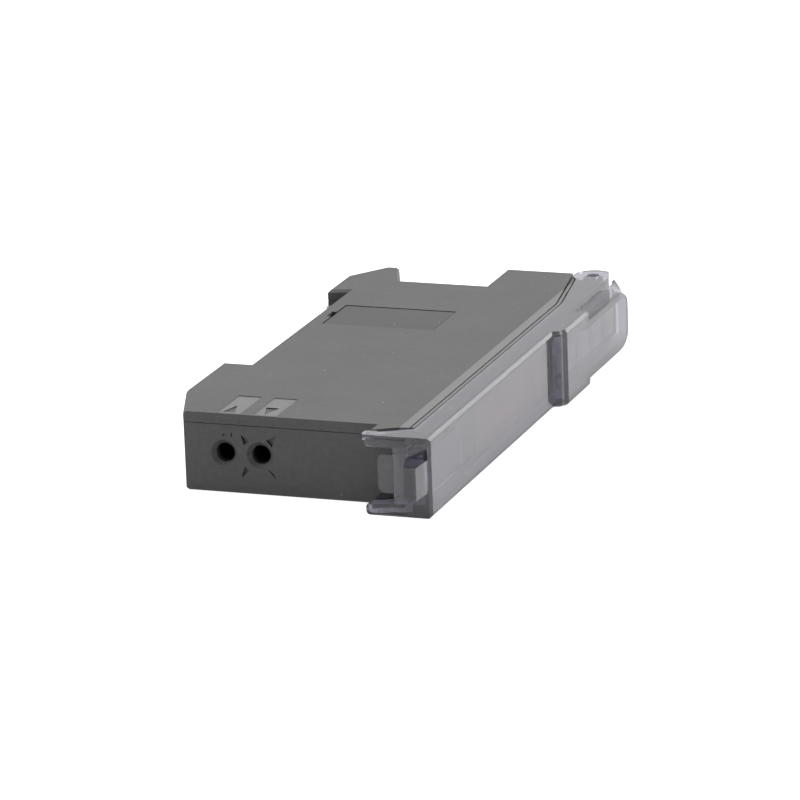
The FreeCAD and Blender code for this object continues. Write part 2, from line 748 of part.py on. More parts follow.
def build_clamp():
    """The slider that grips both fibres, its coil spring, and the lever with its pin."""
    y = ("clamp_place - clamp_thick / 2", "clamp_place + clamp_thick / 2")
    z = ("mid_z - clamp_wide / 2", "mid_z + clamp_wide / 2")
    plate = block("clamp_plate",
                  ("optic_base + optic_rim / 2 + slide_gap", "optic_top - clamp_travel - slide_gap"), y, z)
    neck = block("clamp_neck", ("optic_top - optic_rim", "top_wall"), y,
                 ("mid_z - clamp_neck / 2", "mid_z + clamp_neck / 2"))
    collar = rod("clamp_collar", "x", ("optic_top + coil_wire + coil_long", "clamp_place", "mid_z"),
                 "coil_radius + coil_wire", "clamp_thick / 2")
    head = block("clamp_head", ("top_wall - wall", "lever_under - slide_gap / 2"), y, z)
    tools = []
    for name, high in (("low", "hole_low"), ("high", "hole_high")):
        reach = "hole_radius + fibre_play"
        tools.append(block("clamp_window_" + name,
                           ("%s - (%s) - clamp_travel" % (high, reach), "%s + %s" % (high, reach)),
                           ("0", "optic_back"), ("mid_z - (%s)" % reach, "mid_z + %s" % reach)))
    node("fibre_clamp", cut("fibre_clamp", fuse("clamp_solid", [plate, neck, collar, head]), tools))

    helix = doc.addObject("Part::Helix", "coil_path")
    bind(helix, "Radius", "coil_radius")
    bind(helix, "Pitch", "coil_long / coil_turns")
    bind(helix, "Height", "coil_long")
    ring = doc.addObject("Part::Circle", "coil_section")
    bind(ring, "Radius", "coil_wire / 2")
    ring.Placement = FreeCAD.Placement(FreeCAD.Vector(), FreeCAD.Rotation(FreeCAD.Vector(1, 0, 0), 90))
    bind(ring, "Placement.Base.x", "coil_radius")
    coil = doc.addObject("Part::Sweep", "clamp_spring")
    coil.Sections = [ring]
    coil.Spine = (helix, [])
    coil.Solid = True
    coil.Frenet = True
    coil.Placement = FreeCAD.Placement(FreeCAD.Vector(), TURNS["x"])
    place(coil, "optic_top + coil_wire / 2", "clamp_place", "mid_z")
    node("clamp_spring", coil)

    low, high = "mid_z - lever_wide / 2", "mid_z + lever_wide / 2"
    arm = prism("lever_arm", [
        ("lever_low", "0 - lever_front"),
        ("lever_top", "0 - lever_front"),
        ("lever_top", "lever_axis_place"),
        ("lever_under", "lever_axis_place"),
        ("lever_under", "lever_thick - lever_front"),
        ("lever_low", "lever_thick - lever_front"),
    ], low, high)

    def tab_corner(edge, box):
        """The two corners at the free end of the tab."""
        span = edge.BoundBox
        return close(span.XMax, box.XMin) and span.YLength > 0.1 and span.ZLength < 0.01

    arm = ease("lever_round", arm, "Fillet", "lever_corner", tab_corner)
    hub = rod("lever_hub_rod", "z", ("lever_axis_high", "lever_axis_place", low), "lever_hub", "lever_wide")
    bore = rod("lever_bore", "z", ("lever_axis_high", "lever_axis_place", "0"),
               "lever_pin_radius + pin_play", "case_thick")
    node("lock_lever", cut("lock_lever", fuse("lever_solid", [arm, hub]), [bore]))
    node("lever_pin", rod("lever_pin", "z",
                          ("lever_axis_high", "lever_axis_place", "mid_z - lever_wide / 2 - lever_ear"),
                          "lever_pin_radius", "lever_wide + lever_ear * 2"))


def key_y(n, offset):
    return "key_first + key_pitch * %d %s" % (n, offset)


def build_panel():
    """The moulded panel under the cover, with the lever's ears and the cover's hinge pins."""
    flange_z = ("flange_inset", "case_thick - flange_inset")
    raise_z = ("mid_z - raise_wide / 2", "mid_z + raise_wide / 2")
    skirt = block("panel_skirt", ("face_top", "panel_top - panel_skin / 2"), ("skirt_front", "skirt_end"),
                  ("room_low", "room_high"))
    end = block("panel_end", ("end_high + slide_gap * 2", "panel_top - panel_skin / 2"),
                ("skirt_end - panel_wall", "case_end"), ("room_low", "room_high"))
    flange = block("panel_flange", ("case_high + slide_gap", "panel_top"), ("panel_front", "case_end"),
                   flange_z)
    raised = block("panel_raised", ("panel_under", "raise_top"), ("raise_front", "raise_end"), raise_z)
    boss = rod("panel_boss", "z", ("pivot_high", "pivot_place", "flange_inset"), "pivot_boss",
               "case_thick - flange_inset * 2")
    pins = rod("panel_pins", "z", ("pivot_high", "pivot_place", "cover_side * 3"), "pivot_radius",
               "case_thick - cover_side * 6")
    ears = []
    for name, start in (("low", "mid_z - lever_wide / 2 - lever_ear"),
                        ("high", "mid_z + lever_wide / 2 + slide_gap")):
        ears.append(block("panel_ear_" + name, ("case_high + slide_gap", "ear_top"),
                          ("lever_axis_place - pivot_boss", "panel_front + panel_wall"),
                          (start, start + " + lever_ear - slide_gap")))
    solid = fuse("panel_solid", [skirt, end, flange, raised, boss, pins] + ears)
    solid.Refine = True
    tools = [
        block("panel_room", ("face_board", "panel_under"),
              ("skirt_front + panel_wall", "skirt_end - panel_wall"),
              ("room_low + panel_wall", "room_high - panel_wall")),
        block("panel_raised_room", ("panel_under - panel_skin", "raise_top - panel_skin"),
              ("raise_front + raise_wall", "raise_end - raise_wall * 2"),
              ("mid_z - raise_wide / 2 + raise_wall", "mid_z + raise_wide / 2 - raise_wall")),
        block("panel_window_seat", ("panel_top - window_thick", "cover_high"), ("window_front", "window_end"),
              ("mid_z - window_wide / 2", "mid_z + window_wide / 2")),
        block("panel_window_hole", ("panel_under - panel_skin", "cover_high"),
              ("window_front + window_lip", "window_end - window_lip"),
              ("mid_z - window_wide / 2 + window_lip", "mid_z + window_wide / 2 - window_lip")),
        block("panel_lamp_hole", ("panel_under - panel_skin", "cover_high"),
              ("lamp_front - window_gap", "lamp_front + lamp_long + window_gap"),
              ("mid_z - lamp_wide / 2 - window_gap", "mid_z + lamp_wide / 2 + window_gap")),
        rod("panel_ear_bore", "z", ("lever_axis_high", "lever_axis_place", "0"),
            "lever_pin_radius + pin_play", "case_thick"),
    ]
    for n in range(4):
        tools.append(block("panel_key_hole_%d" % n, ("raise_top - panel_skin * 2", "cover_high"),
                           (key_y(n, "- key_long / 2 - key_gap"), key_y(n, "+ key_long / 2 + key_gap")),
                           ("mid_z - key_wide / 2 - key_gap", "mid_z + key_wide / 2 + key_gap")))
    node("operating_panel", cut("operating_panel", solid, tools))
    node("display_window", block("display_window", ("panel_top - window_thick", "panel_top"),
                                 ("window_front + window_gap", "window_end - window_gap"),
                                 ("mid_z - window_wide / 2 + window_gap",
                                  "mid_z + window_wide / 2 - window_gap")))
    node("indicator_lens", block("indicator_lens", ("face_top + chip_lamp", "panel_top + window_gap"),
                                 ("lamp_front", "lamp_front + lamp_long"),
                                 ("mid_z - lamp_wide / 2", "mid_z + lamp_wide / 2")))


def build_keys():
    """Four buttons, each with a tact switch on the board below it."""
    for n, name in enumerate(("tune_button", "mode_button", "up_button", "down_button")):
        cap = block(name + "_cap", ("raise_top - panel_skin - key_gap", "raise_top + key_proud"),
                    (key_y(n, "- key_long / 2"), key_y(n, "+ key_long / 2")),
                    ("mid_z - key_wide / 2", "mid_z + key_wide / 2"))
        cap = ease(name + "_eased", cap, "Fillet", "key_flange",
                   lambda e, b: close(e.BoundBox.XMin, b.XMax) and close(e.BoundBox.XMax, b.XMax))
        flange = block(name + "_flange", ("panel_under - panel_skin", "raise_top - panel_skin - window_gap"),
                       (key_y(n, "- key_long / 2 - key_flange"), key_y(n, "+ key_long / 2 + key_flange")),
                       ("mid_z - key_wide / 2", "mid_z + key_wide / 2"))
        stem = rod(name + "_stem", "x", ("stem_low", key_y(n, ""), "mid_z"), "key_stem",
                   "panel_under - stem_low")
        node(name, fuse(name, [cap, flange, stem]))
        switch = name.replace("button", "switch")
        base = block(switch + "_base", ("face_top", "face_top + switch_high"),
                     (key_y(n, "- switch_wide / 2"), key_y(n, "+ switch_wide / 2")),
                     ("mid_z - switch_wide / 2", "mid_z + switch_wide / 2"))
        plunger = rod(switch + "_plunger", "x", ("face_top", key_y(n, ""), "mid_z"), "key_stem",
                      "switch_high + plunger_high")
        node(switch, fuse(switch, [base, plunger]))


def build_boards():
    """The wide board on the tray's posts, the narrow board under the panel, and the parts on them."""
    board = block("main_outline", ("board_base", "face_board - seam_gap"), ("board_front", "board_back"),
                  ("board_low", "board_face"))
    spare = block("main_spare", ("board_base - wall", "bay_low + wall + board_gap"),
                  ("rail_far - wall - board_gap", "board_back + wall"), ("0", "case_thick"))
    slot = block("main_link_slot", ("link_low - seam_gap", "link_high + seam_gap"),
                 ("link_front - seam_gap", "link_end + seam_gap"), ("0", "case_thick"))
    node("main_board", cut("main_board", board, [spare, slot]))
    face = block("face_outline", ("face_board", "face_top"), ("skirt_front", "skirt_end"),
                 ("room_low", "room_high"))
    pins = []
    holes = []
    for n in range(6):
        y = "header_front + header_pitch * (%d + 0.5)" % n
        z = "board_face + header_tall / 2"
        pins.append(rod("header_pin_%d" % n, "x", ("face_board - header_deep / 2", y, z),
                        "contact_radius", "header_deep / 2 + board_thick"))
        holes.append(rod("face_hole_%d" % n, "x", ("face_board - wall", y, z),
                         "contact_radius + seam_gap", "board_thick + wall * 2"))
    node("display_board", cut("display_board", face, holes))
    bar = block("header_bar", ("face_board - seam_gap - header_deep", "face_board - seam_gap"),
                ("header_front", "header_front + header_pitch * 6"),
                ("board_face", "board_face + header_tall"))
    node("board_header", fuse("board_header", [bar] + pins))
    for n, name in enumerate(("level_display", "threshold_display")):
        start = "digits_first + (digits_long + digits_gap) * %d" % n
        node(name, block(name, ("face_top", "face_top + digits_high"), (start, start + " + digits_long"),
                         ("mid_z - digits_wide / 2", "mid_z + digits_wide / 2")))
    lamps = []
    y = "lamp_front + lamp_long / 2"
    for n in (-1, 0, 1):
        z = "mid_z + lamp_wide / 3 * %d" % n
        lamps.append(block("chip_lamp_%d" % (n + 1), ("face_top", "face_top + chip_lamp"),
                           (y + " - chip_lamp / 2", y + " + chip_lamp / 2"),
                           (z + " - chip_lamp / 2", z + " + chip_lamp / 2")))
    group = doc.addObject("Part::Compound", "indicator_lamps")
    group.Links = lamps
    node("indicator_lamps", group)
    node("controller_chip", block("controller_chip", ("chip_low", "chip_low + chip_side"),
                                  ("chip_front", "chip_front + chip_side"),
                                  ("board_face", "board_face + chip_high")))
    inner = ("can_wall * 2", "can_side - can_wall * 2")
    node("analogue_chip", block("analogue_chip", tuple("can_low + " + side for side in inner),
                                tuple("can_front + " + side for side in inner),
                                ("board_face", "board_face + amp_high")))
    can = block("can_outer", ("can_low", "can_low + can_side"), ("can_front", "can_front + can_side"),
                ("board_face", "board_face + can_high"))
    hollow = block("can_hollow", ("can_low + can_wall", "can_low + can_side - can_wall"),
                   ("can_front + can_wall", "can_front + can_side - can_wall"),
                   ("board_low", "board_face + can_high - can_wall"))
    node("shield_can", cut("shield_can", can, [hollow]))
    node("supply_capacitor", rod("supply_capacitor", "y",
                                 ("capacitor_place", "capacitor_front", "board_face + capacitor_radius"),
                                 "capacitor_radius", "capacitor_long"))
    node("inductor", block("inductor", ("inductor_low", "inductor_low + inductor_side"),
                           ("inductor_front", "inductor_front + inductor_side"),
                           ("board_face", "board_face + inductor_high")))


def build_ports():
    """The side link connector with its contacts, and the socket in the plug bay."""
    z = ("port_depth + seam_gap + clip_long / 2", "case_thick - port_depth - seam_gap - clip_long / 2")
    core = block("link_core", ("link_low + seam_gap", "link_high - seam_gap"),
                 ("link_front + seam_gap", "link_end - seam_gap"), z)
    flange = block("link_flange_block", ("link_low - link_flange", "link_high + link_flange"),
                   ("link_front - link_flange", "link_end + link_flange"),
                   ("board_face", "board_face + board_thick"))
    inner_x = ("link_low + seam_gap + link_wall", "link_high - seam_gap - link_wall")
    inner_y = ("link_front + seam_gap + link_wall", "link_end - seam_gap - link_wall")
    cavities = [
        block("link_cavity_low", inner_x, inner_y, ("0", "%s + link_cavity" % z[0])),
        block("link_cavity_high", inner_x, inner_y, ("%s - link_cavity" % z[1], "case_thick")),
    ]
    contacts = []
    bores = []
    for n in (-2, -1, 0, 1, 2):
        spot = ("contact_mid + contact_pitch * %d" % n, "link_mid", z[0] + " + seam_gap")
        length = "(%s) - (%s) - seam_gap * 2" % (z[1], z[0])
        contacts.append(rod("link_contact_%d" % (n + 2), "z", spot, "contact_radius", length))
        bores.append(rod("link_bore_%d" % (n + 2), "z", spot, "contact_radius", length))
    node("link_connector", cut("link_connector", fuse("link_solid", [core, flange]), cavities + bores))
    group = doc.addObject("Part::Compound", "link_contacts")
    group.Links = contacts
    node("link_contacts", group)

    end = "bay_wall - seam_gap * 2"
    shell = block("socket_shell", ("socket_low", "socket_high"), ("socket_back", end),
                  ("board_face", "board_face + socket_tall"))
    mouth = block("socket_mouth", ("socket_low + socket_wall", "socket_high - socket_wall"),
                  (end + " - socket_depth", end + " + wall"),
                  ("board_face + socket_wall", "board_face + socket_tall - socket_wall"))
    pins = []
    bores = []
    for n in range(4):
        spot = ("(socket_low + socket_high) / 2 + socket_pitch * (%d - 1.5)" % n, "socket_back",
                "board_face + socket_tall / 2")
        length = "socket_long - socket_wall"
        pins.append(rod("socket_pin_%d" % n, "y", spot, "contact_radius", length))
        bores.append(rod("socket_bore_%d" % n, "y", spot, "contact_radius", length))
    node("power_socket", cut("power_socket", shell, [mouth] + bores))
    group = doc.addObject("Part::Compound", "power_pins")
    group.Links = pins
    node("power_pins", group)


def build_rail_spring():
    """The bent steel leaf that presses the rail's edge against the front foot."""
    z = ("mid_z - leaf_wide / 2", "mid_z + leaf_wide / 2")
    start = "rail_far + leaf_gap"
    leg = block("leaf_leg", ("0 - leaf_drop", "leaf_high"), (start, start + " + leaf_thick"), z)
    lip = prism("leaf_lip_body", [
        ("0 - leaf_drop", start + " + leaf_thick"),
        ("0 - leaf_drop", start + " - leaf_lip"),
        ("leaf_thick - leaf_drop", start + " - leaf_lip"),
        ("leaf_thick * 2 - leaf_drop", start + " + leaf_thick / 2"),
    ], *z)
    node("rail_spring", fuse("rail_spring", [leg, lip]))


def build_cover():
    """The smoke cover: one moulding, with two front arms, a raised far part and round hinge ears."""
    low, high = "cover_side", "case_thick - cover_side"
    in_low, in_high = "cover_side + cover_wall", "case_thick - cover_side - cover_wall"
    ramp_end = "ramp_start + ramp_run"
    step_high = "cover_top + ramp_high * 0.6"
    shell = prism("cover_shell", [
        ("cover_low", "face_y"),
        ("cover_top", "face_y"),
        ("cover_top", "ramp_start"),
        (step_high, "ramp_start + ramp_lean"),
        (step_high + " + slide_gap", "ramp_start + ramp_lean + ramp_land"),
        ("cover_high", ramp_end),
        ("cover_high", "full_end"),
        ("deck_high", "full_end"),
        ("deck_high", "pivot_place - ear_radius"),
        ("pivot_high + ear_radius - cover_side", "pivot_place"),
        ("cover_low - end_step", "pivot_place"),
        ("cover_low", "taper_start"),
    ], low, high)

    def outer_rim(edge, box):
        """Both long rims of the outer face, over the ramp too, and its front edge."""
        span = edge.BoundBox
        flat = flat_edge(edge, box.ZMin) or flat_edge(edge, box.ZMax)
        rim = flat and span.YLength > 0.1 or close(span.YMax, box.YMin)
        return rim and span.XMin > box.XMax - size("ramp_high") - 0.01

    shell = ease("cover_rimmed", shell, "Chamfer", "cover_bevel", outer_rim)
    ears = rod("cover_ears", "z", ("pivot_high", "pivot_place", low), "ear_radius",
               "case_thick - cover_side * 2")
    trim = prism("cover_trim", [
        ("deck_high", "pivot_place - ear_radius"),
        ("deck_high + ear_radius", "pivot_place - ear_radius"),
        ("deck_high + ear_radius", "pivot_place + ear_radius * 2"),
        ("pivot_high + ear_trim", "pivot_place + ear_radius * 2"),
        ("pivot_high + ear_trim", "pivot_place + ear_trim_back"),
    ], "0", "case_thick")
    sides = cut("cover_sides", fuse("cover_eared", [shell, ears]), [trim])
    nose = prism("cover_nose", [
        ("nose_low", "full_end - cover_skin / 2"),
        ("cover_high", "full_end - cover_skin / 2"),
        ("cover_high", "nose_flat"),
        ("nose_low", "nose_end"),
    ], "nose_mid - nose_wide / 2", "nose_mid + nose_wide / 2")
    doc.recompute()
    far = nose.Shape.BoundBox.YMax
    corners = []
    for n, edge in enumerate(nose.Shape.Edges, start=1):
        first, last = [vertex.Point for vertex in edge.Vertexes]
        if close(first.z, last.z) and not close(first.x, last.x) and close(max(first.y, last.y), far):
            big, small = size("nose_round"), size("nose_soft")
            corners.append((n, big, small) if first.x > last.x else (n, small, big))
    rounded = doc.addObject("Part::Fillet", "cover_nose_round")
    rounded.Base = nose
    rounded.Edges = corners

    def arm_end(edge, box):
        """The two edges at the free end of an arm."""
        span = edge.BoundBox
        return close(span.XMax, box.XMin) and span.YLength > 0.1

    arms = []
    grooves = []
    for name, near, arm, thick in (
            ("low", low, "cover_side + arm_thick", "cover_side + block_thick"),
            ("high", high, "case_thick - cover_side - arm_thick", "case_thick - cover_side - block_thick")):
        span = (near, arm) if name == "low" else (arm, near)
        wide = (near, thick) if name == "low" else (thick, near)
        bar = block("cover_arm_" + name, ("arm_low", "cover_top - cover_skin / 2"), ("face_y", "arm_back"),
                    span)
        arms.append(ease("cover_arm_round_" + name, bar, "Fillet", "arm_round", arm_end))
        inward = "+" if name == "low" else "-"
        middle = "%s %s groove_in" % (near, inward)
        web = prism("cover_web_" + name, [
            ("arm_low + arm_web_start", "arm_back - seam_gap"),
            ("arm_low + arm_web_start", "arm_back"),
            ("cover_low", "arm_back + arm_web"),
            ("cover_low + arm_web", "arm_back + arm_web"),
            ("cover_low + arm_web", "arm_back - seam_gap"),
        ], *span)
        arms.append(web)
        grooves.append(block("cover_groove_" + name, ("arm_low + groove_end", "block_low"),
                             ("face_y - arm_groove", "face_y + arm_groove"),
                             (middle + " - arm_groove", middle + " + arm_groove")))
        arms.append(block("cover_block_" + name, ("block_low", "cover_top - cover_skin / 2"),
                          ("face_y", "arm_back"), wide))
    knob = block("cover_knob", ("arm_low - knob_start", "arm_low + knob_end"),
                 ("face_y", "face_y + knob_deep"), (high + " - knob_thick", high))
    arms.append(ease("cover_knob_round", knob, "Fillet", "arm_round",
                     lambda e, b: close(e.BoundBox.XMax, b.XMin) and e.BoundBox.ZLength > 0.1))
    bridge = block("cover_bridge", ("mid_wall_low", "cover_low + cover_wall"), ("face_y", "wall_back"),
                   ("cover_side + arm_thick / 2", "case_thick - cover_side - arm_thick / 2"))
    tab = prism("cover_tab", [
        ("tab_root", "face_y + front_wall / 2"),
        ("tab_low", "face_y - tab_reach"),
        ("tab_top", "face_y - tab_reach"),
        ("cover_top - cover_bevel", "face_y"),
        ("cover_top - cover_bevel", "face_y + front_wall / 2"),
    ], "mid_z + tab_shift - tab_wide / 2", "mid_z + tab_shift + tab_wide / 2")
    outer = fuse("cover_outer", [sides, rounded])
    room = prism("cover_room", [
        ("0", "wall_back"),
        ("cover_under", "wall_back"),
        ("cover_under", "ramp_start + front_wall"),
        ("nose_under", ramp_end + " + front_wall"),
        ("nose_under", "full_end - cover_wall"),
        ("deck_high - cover_wall", "full_end - cover_wall"),
        ("deck_high - cover_wall", "pivot_place + ear_radius + cover_side"),
        ("0", "pivot_place + ear_radius + cover_side"),
    ], in_low, in_high)
    nose_room = prism("cover_nose_room", [
        ("nose_low - cover_wall", "full_end - cover_wall * 2"),
        ("nose_under", "full_end - cover_wall * 2"),
        ("nose_under", "nose_flat + cover_skin * nose_rise - end_wall"),
        ("nose_low - cover_wall", "nose_end + cover_wall * nose_rise - end_wall"),
    ], "nose_mid - nose_wide / 2 + cover_wall", "nose_mid + nose_wide / 2 - cover_wall")
    hollow = cut("cover_hollow", outer, [room, nose_room])
    solid = fuse("cover_solid", [hollow, bridge, tab] + arms)
    solid.Refine = True
    bore = rod("cover_bore", "z", ("pivot_high", "pivot_place", "0"), "pivot_radius + pivot_play",
               "case_thick")
    node("protective_cover", cut("protective_cover", solid, [bore] + grooves))


build_tray()
build_side_plate()
build_port_covers()
build_optics()
build_clamp()
build_panel()
build_keys()
build_boards()
build_ports()
build_rail_spring()
build_cover()

doc.recompute()

# Check every object, then write one file for each piece
faults = []
for thing in doc.Objects:
    if "Invalid" in thing.State or "Error" in thing.State:
        faults.append("%s is %s" % (thing.Label, ", ".join(thing.State)))
for thing in NODES:
    if thing.Shape.isNull() or not thing.Shape.isValid():
        faults.append("%s has no valid shape" % thing.Label)
if faults:
    raise RuntimeError("; ".join(faults))

os.makedirs("parts", exist_ok=True)
for thing in NODES:
    thing.Shape.exportStep("parts/%s.step" % thing.Label)
    box = thing.Shape.BoundBox
    print("%-20s %2d solid, %8.1f mm3, x %6.2f to %6.2f, y %6.2f to %6.2f, z %5.2f to %5.2f" % (
        thing.Label, len(thing.Shape.Solids), thing.Shape.Volume,
        box.XMin, box.XMax, box.YMin, box.YMax, box.ZMin, box.ZMax))
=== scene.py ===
# %% [markdown]
# # A fibre optic sensor amplifier in Blender
# The object is a slim case of dark grey plastic, 10 mm thick, lying on its broad side. A smoke
# tinted cover is hinged at its far end and lies over the displays and buttons. The solids come
# from the CAD model, and this lesson gives them their finishes, adds the small things that are
# moulded or printed on them, and sets up the floor, the light and the camera.

# %% Load the fixed frame
import math

import bmesh
import bpy
from mathutils import Matrix, Vector


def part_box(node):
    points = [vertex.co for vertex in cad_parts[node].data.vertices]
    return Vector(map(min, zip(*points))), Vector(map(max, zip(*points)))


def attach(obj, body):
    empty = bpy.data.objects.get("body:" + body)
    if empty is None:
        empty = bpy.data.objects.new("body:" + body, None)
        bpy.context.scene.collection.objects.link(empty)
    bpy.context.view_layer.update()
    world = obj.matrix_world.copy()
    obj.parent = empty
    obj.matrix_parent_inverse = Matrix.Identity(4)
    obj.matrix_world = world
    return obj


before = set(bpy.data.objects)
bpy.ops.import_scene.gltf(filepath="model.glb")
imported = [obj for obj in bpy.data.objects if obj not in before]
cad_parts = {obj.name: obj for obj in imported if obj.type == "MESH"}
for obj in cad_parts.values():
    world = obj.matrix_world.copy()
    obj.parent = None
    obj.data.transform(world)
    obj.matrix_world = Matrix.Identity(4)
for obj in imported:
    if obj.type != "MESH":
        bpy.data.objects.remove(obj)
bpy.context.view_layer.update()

# %% [markdown]
# Lengths on this object are read in millimetres from the lower corner of its fibre end face,
# as its drawing has them: x up from the rail to the cover, y along the case, z through it.
# Blender works in metres from the middle of the part, so one helper turns a place on the
# drawing into a place in the scene.

# %% Places on the drawing
RAIL_TO_MIDDLE = 15.7
FACE_TO_MIDDLE = 33.1


def spot(x, y, z):
    """A place on the drawing, in mm, as a vector in the scene."""
    return Vector(((x - RAIL_TO_MIDDLE) / 1000, (y - FACE_TO_MIDDLE) / 1000, z / 1000))


print("Fibre end corner at", [round(c, 4) for c in spot(0, 0, 0)])

# %% [markdown]
# The photograph is taken through a long lens from a low angle, a little to the right of the
# fibre end. The camera gets the same lens, a place, and three angles that fit the edges of the
# case in the picture: how far round it stands, how far up, and how far it leans over to one
# side. A Track To constraint could aim it, but it can't give that lean.

# %% The camera
CAMERA_PLACE = Vector((0.2167, -0.5869, 0.1880))
CAMERA_ROUND = math.radians(20.265)
CAMERA_ABOVE = math.radians(16.494)
CAMERA_LEAN = math.radians(-2.112)
LENS_MM = 233.8
SENSOR_MM = 36.0

camera_data = bpy.data.cameras.new("camera")
camera_data.lens = LENS_MM
camera_data.sensor_width = SENSOR_MM
camera_data.clip_start = 0.01
camera_data.clip_end = 20
camera = bpy.data.objects.new("camera", camera_data)
level_out = Matrix.Rotation(math.pi / 2 - CAMERA_ABOVE, 4, "X")
turn = Matrix.Rotation(CAMERA_ROUND, 4, "Z") @ level_out @ Matrix.Rotation(CAMERA_LEAN, 4, "Z")
camera.matrix_world = Matrix.Translation(CAMERA_PLACE) @ turn
bpy.context.scene.collection.objects.link(camera)
bpy.context.scene.camera = camera
print("Camera is %.0f mm from the middle of the part" % (CAMERA_PLACE.length * 1000))

# %% [markdown]
# Every finish is a small tree of nodes. Colours are picked as sRGB hex values, as a paint chart
# gives them, and one function turns them into the linear numbers that the shader wants. One
# function makes the empty material with its shader, and one adds a node with its settings and
# its links.

# %% Helpers for the materials


def linear(code):
    """The linear colour of an sRGB hex code."""
    parts = [int(code[at:at + 2], 16) / 255 for at in (0, 2, 4)]
    light = [c / 12.92 if c <= 0.04045 else ((c + 0.055) / 1.055) ** 2.4 for c in parts]
    return (*light, 1.0)


def finish(name, colour, roughness, ior=1.5, metallic=0.0):
    """A new material with its shader's plain values set."""
    made = bpy.data.materials.new(name)
    made.use_nodes = True
    shader = made.node_tree.nodes["Principled BSDF"]
    shader.inputs["Base Color"].default_value = linear(colour)
    shader.inputs["Roughness"].default_value = roughness
    shader.inputs["IOR"].default_value = ior
    shader.inputs["Metallic"].default_value = metallic
    return made


def add(made, kind, settings=None, links=None):
    """Add a node. Settings are its attributes or socket values, links feed its sockets."""
    node = made.node_tree.nodes.new("ShaderNode" + kind)
    for name, value in (settings or {}).items():
        if isinstance(name, int) or name in node.inputs:
            node.inputs[name].default_value = value
        else:
            setattr(node, name, value)
    for name, source in (links or {}).items():
        made.node_tree.links.new(source, node.inputs[name])
    return node


def feed(made, socket, source):
    """Lead a node's output into the material's shader."""
    made.node_tree.links.new(source, made.node_tree.nodes["Principled BSDF"].inputs[socket])


print("sRGB 808080 is", round(linear("808080")[0], 3), "in linear light")

# %% [markdown]
# The case is moulded ABS, dark grey, from a spark eroded tool. The tool leaves a fine pitted
# skin that scatters light, so the broad side looks paler than the end when it is seen at a low
# angle. The pits could be cut into the mesh, but they are far too many, so a fine noise texture
# drives a bump. A real pit is about 0.08 mm across, and it is drawn at 0.22 mm so that it shows
# at all in the picture.

# %% The pitted skin of a moulding
PIT_MM = 0.22
PIT_STRENGTH = 0.55


def per_mm(pitch):
    """The texture scale that repeats a pattern once in that many millimetres."""
    return 1000 / pitch


def pitted(made, place, pit_um):
    """Give a moulding its fine pits, that many thousandths of a millimetre deep."""
    pits = add(made, "TexNoise", {"Scale": per_mm(PIT_MM), "Detail": 2.0, "Roughness": 0.6},
               {"Vector": place})
    bump = add(made, "Bump", {"Strength": PIT_STRENGTH, "Distance": pit_um / 1e6},
               {"Height": pits.outputs["Fac"]})
    feed(made, "Normal", bump.outputs["Normal"])


print("Pits are drawn", PIT_MM, "mm apart")

# %% [markdown]
# No moulding is one even colour. A wide faint noise is the cloudy unevenness of a big flat
# wall, and a finer one is the grain that handling leaves. An image could hold both, but it has
# to be wrapped round every piece, and a noise fills the space and needs no wrapping. Both
# together shift the colour between a darker and a paler tone of itself.

# %% The uneven tone of a moulding
CLOUD_MM = 9.0
GRAIN_MM = 0.7
DARKEST = 0.5
PALEST = 1.5


def shade(code, times):
    """The linear colour of a hex code, made that many times as bright."""
    return (*(c * times for c in linear(code)[:3]), 1.0)


def uneven_tone(made, place, colour):
    """The moulding's colour, a little darker in some places and paler in others."""
    cloud = add(made, "TexNoise", {"Scale": per_mm(CLOUD_MM), "Detail": 3.0}, {"Vector": place})
    grain = add(made, "TexNoise", {"Scale": per_mm(GRAIN_MM), "Detail": 3.0}, {"Vector": place})
    both = add(made, "Mix", {"data_type": "FLOAT", 0: 0.5},
               {2: cloud.outputs["Fac"], 3: grain.outputs["Fac"]})
    tone = add(made, "Mix",
               {"data_type": "RGBA", 6: shade(colour, DARKEST), 7: shade(colour, PALEST)},
               {0: both.outputs[0]})
    return tone.outputs[2]


print("Clouds", CLOUD_MM, "mm and grain", GRAIN_MM, "mm wide")

# %% [markdown]
# A few pale specks of dust lie on the case. A Voronoi texture fills the space with cells, 2.6 mm
# wide and with one centre each, and only a dot around the centre is painted, 0.15 mm wide at
# full strength and 0.3 mm with its soft edge. A dot shows only where a centre happens to lie at
# the surface, so the specks are few and far between, as they are on a clean part.

# %% Dust
SPECK_MM = 2.6
SPECK_CORE = 0.028
SPECK_EDGE = 0.055
SPECK_COVER = 0.8
DUST = "9a9a98"


def dusted(made, place, tint):
    """The same colour with pale specks of dust on it."""
    cells = add(made, "TexVoronoi", {"Scale": per_mm(SPECK_MM), "Randomness": 1.0}, {"Vector": place})
    dots = add(made, "MapRange", {1: SPECK_CORE, 2: SPECK_EDGE, 3: SPECK_COVER, 4: 0.0},
               {0: cells.outputs["Distance"]})
    dusty = add(made, "Mix", {"data_type": "RGBA", 7: linear(DUST)},
                {0: dots.outputs[0], 6: tint})
    return dusty.outputs[2]


print("A speck is up to %.2f mm wide" % (SPECK_MM * SPECK_EDGE * 2))

# %% [markdown]
# The case's plastic is all of this on ABS, whose IOR is 1.53. The lids over the side ports come
# from another tool and look a little darker than the case around them.

# %% Moulded ABS for the case
ABS_GREY = "474747"
ABS_ROUGH = 0.52
LID_GREY = "3c3c3c"
LID_ROUGH = 0.55


def case_plastic(name, colour, roughness):
    """ABS with pits and dust. Returns the material, its place output and its colour output."""
    made = finish(name, colour, roughness, ior=1.53)
    place = add(made, "TexCoord").outputs["Object"]
    pitted(made, place, pit_um=14)
    tint = dusted(made, place, uneven_tone(made, place, colour))
    feed(made, "Base Color", tint)
    return made, place, tint


